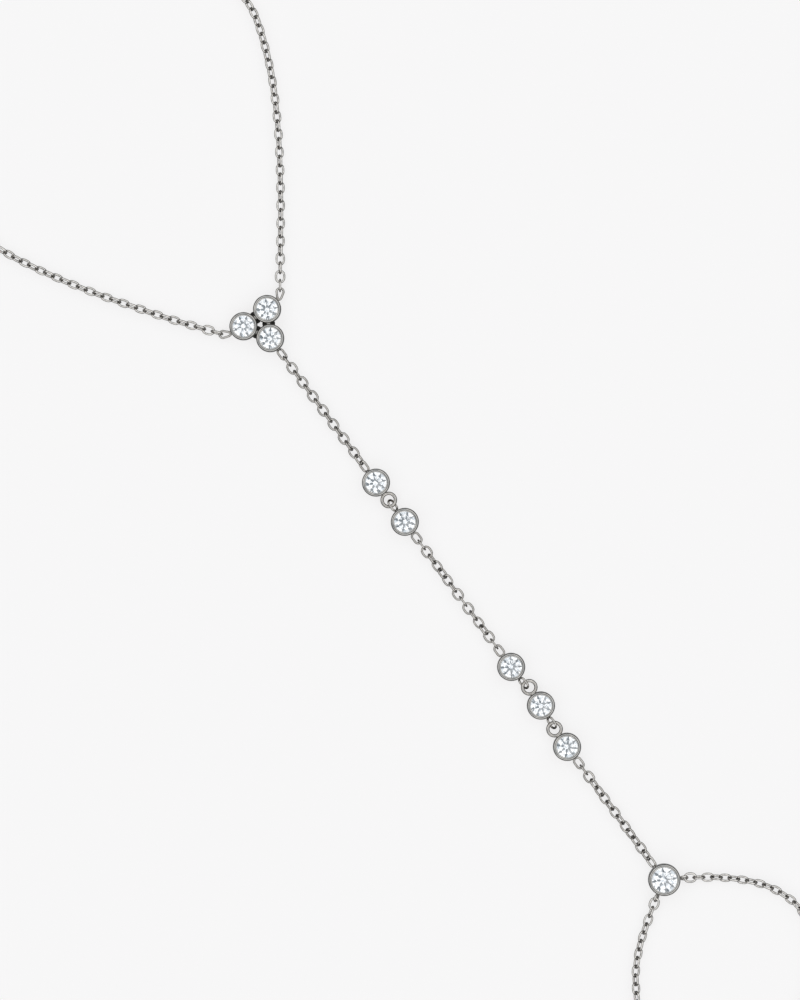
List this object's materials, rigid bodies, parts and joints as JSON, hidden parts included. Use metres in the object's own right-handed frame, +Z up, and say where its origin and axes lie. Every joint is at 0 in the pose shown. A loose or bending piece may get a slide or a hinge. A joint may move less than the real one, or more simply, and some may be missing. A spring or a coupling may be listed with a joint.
{
  "type": "hand chain bracelet",
  "caption": "Fine cable chain hand bracelet lying flat: a wrist loop, a line of bezel-set round stones over the back of the hand, and a finger loop.",
  "frame": {"origin": "on the surface that the piece lies on, under the middle of the whole piece", "axes": "+X runs from the wrist loop to the finger loop along the line of stones, +Z points up out of the tables of the stones"},
  "size_m": [0.1714, 0.0463, 0.0024],
  "materials": {
    "metal": "polished rhodium-plated silver",
    "stone": "clear faceted cubic zirconia"
  },
  "bodies": {
    "root": {"wrist_chain_left": "metal", "wrist_chain_right": "metal", "clasp": "metal", "cluster_setting": "metal", "cluster_stone_1": "stone", "cluster_stone_2": "stone", "cluster_stone_3": "stone", "hand_chain_upper": "metal", "pair_setting_1": "metal", "pair_setting_2": "metal", "pair_stone_1": "stone", "pair_stone_2": "stone", "hand_chain_middle": "metal", "trio_setting_1": "metal", "trio_setting_2": "metal", "trio_setting_3": "metal", "trio_stone_1": "stone", "trio_stone_2": "stone", "trio_stone_3": "stone", "hand_chain_lower": "metal", "finger_setting": "metal", "finger_stone": "stone", "finger_chain": "metal"}
  },
  "joints": []
}
